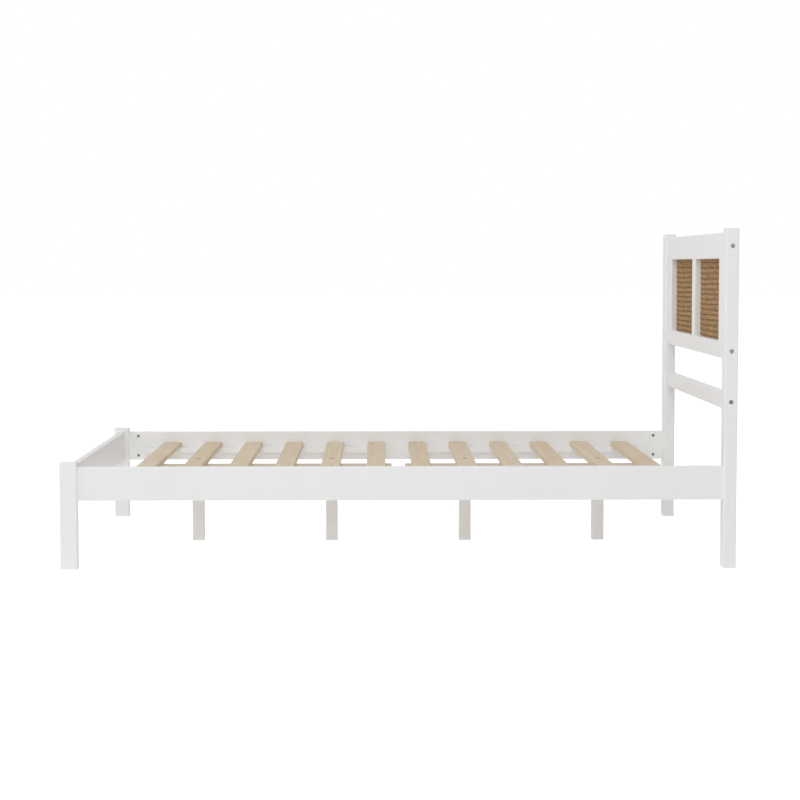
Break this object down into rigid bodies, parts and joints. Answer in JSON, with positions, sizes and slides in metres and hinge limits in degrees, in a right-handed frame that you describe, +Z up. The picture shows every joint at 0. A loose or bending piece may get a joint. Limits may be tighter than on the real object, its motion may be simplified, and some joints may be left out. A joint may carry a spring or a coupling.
{
  "type": "slatted bed frame",
  "caption": "Slatted platform bed frame in white-painted timber with bare pine slats, centre legs and a post-and-rail headboard with wound rope panels.",
  "frame": {"origin": "middle of the footprint, on the floor", "axes": "+X along the length towards the headboard, +Y across the bed towards the far side of the picture, +Z up"},
  "size_m": [2, 1.274, 1.006],
  "materials": {
    "white_paint": "satin white paint over solid pine, grain faintly showing",
    "bare_pine": "bare planed pine with knots",
    "rope": "natural twisted fibre cord",
    "dark_steel": "dark satin powder coat",
    "zinc_steel": "zinc plated",
    "painted_screws": "painted over with the rails"
  },
  "bodies": {
    "root": {"head_post_near": "white_paint", "head_post_far": "white_paint", "foot_post_near": "white_paint", "foot_post_far": "white_paint", "side_rail_near": "white_paint", "side_rail_far": "white_paint", "foot_rail": "white_paint", "top_rail": "white_paint", "panel_rail": "white_paint", "lower_rail": "white_paint", "stile_near": "white_paint", "stile_far": "white_paint", "mullion": "white_paint", "rope_frame_near": "dark_steel", "rope_frame_far": "dark_steel", "rope_near": "rope", "rope_far": "rope", "ledger_near_foot": "white_paint", "ledger_near_head": "white_paint", "ledger_far_foot": "white_paint", "ledger_far_head": "white_paint", "centre_beam_foot": "bare_pine", "centre_beam_head": "bare_pine", "support_leg_1": "white_paint", "support_leg_2": "white_paint", "support_leg_3": "white_paint", "support_leg_4": "white_paint", "slat_01": "bare_pine", "slat_02": "bare_pine", "slat_03": "bare_pine", "slat_04": "bare_pine", "slat_05": "bare_pine", "slat_06": "bare_pine", "slat_07": "bare_pine", "slat_08": "bare_pine", "slat_09": "bare_pine", "slat_10": "bare_pine", "slat_11": "bare_pine", "slat_12": "bare_pine", "headboard_bolts": "zinc_steel", "headboard_nuts": "zinc_steel", "rail_bolts": "zinc_steel", "rail_nuts": "zinc_steel", "leg_bolts": "dark_steel", "leg_inserts": "zinc_steel", "slat_screws": "zinc_steel", "ledger_screws": "painted_screws", "frame_screws": "dark_steel", "frame_dowels": "bare_pine", "rail_end_dowels": "bare_pine", "side_rail_dowels": "bare_pine"}
  },
  "joints": []
}
